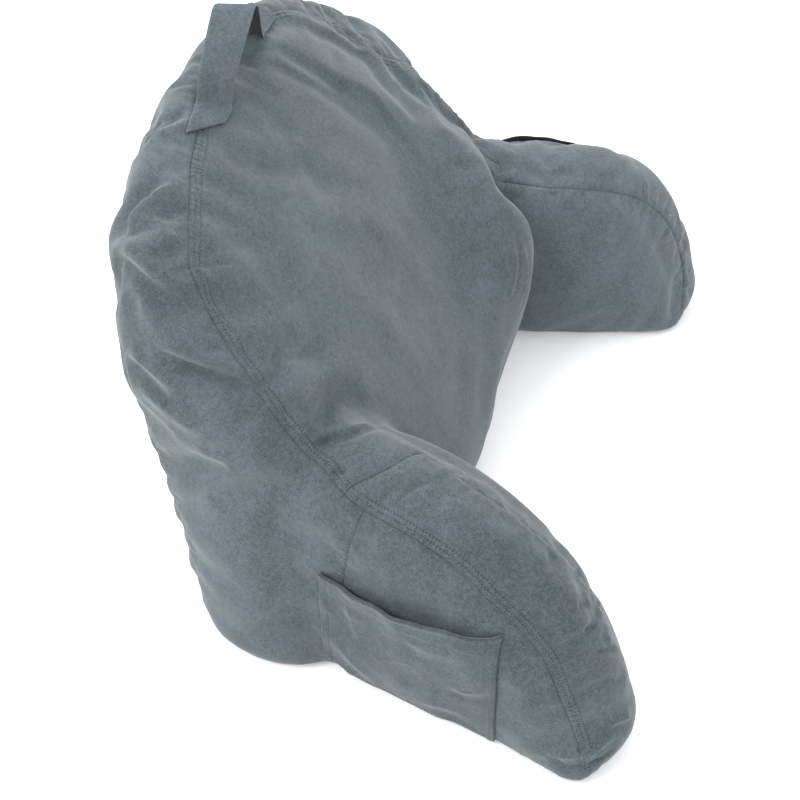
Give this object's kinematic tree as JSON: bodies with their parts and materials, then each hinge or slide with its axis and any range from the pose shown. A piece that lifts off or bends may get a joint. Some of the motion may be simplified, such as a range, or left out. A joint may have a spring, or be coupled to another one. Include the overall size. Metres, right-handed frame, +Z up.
{
  "type": "reading pillow with arms",
  "caption": "Filled backrest pillow that leans back, with filled arms spreading forwards, a carrying strap over its top and open pockets on the arms' outer sides.",
  "frame": {"origin": "on the floor, in the middle of the pillow's footprint", "axes": "+Z up, -Y the way the pillow faces, +X towards the arm that is farther away in the picture"},
  "size_m": [0.8383, 0.556, 0.5268],
  "materials": {
    "suede": "matt brushed nap",
    "black_mesh": "open net"
  },
  "bodies": {
    "root": {"backrest": "suede", "arm_near": "suede", "arm_far": "suede", "strap": "suede", "pocket_near": "suede", "pocket_far": "black_mesh"}
  },
  "joints": []
}
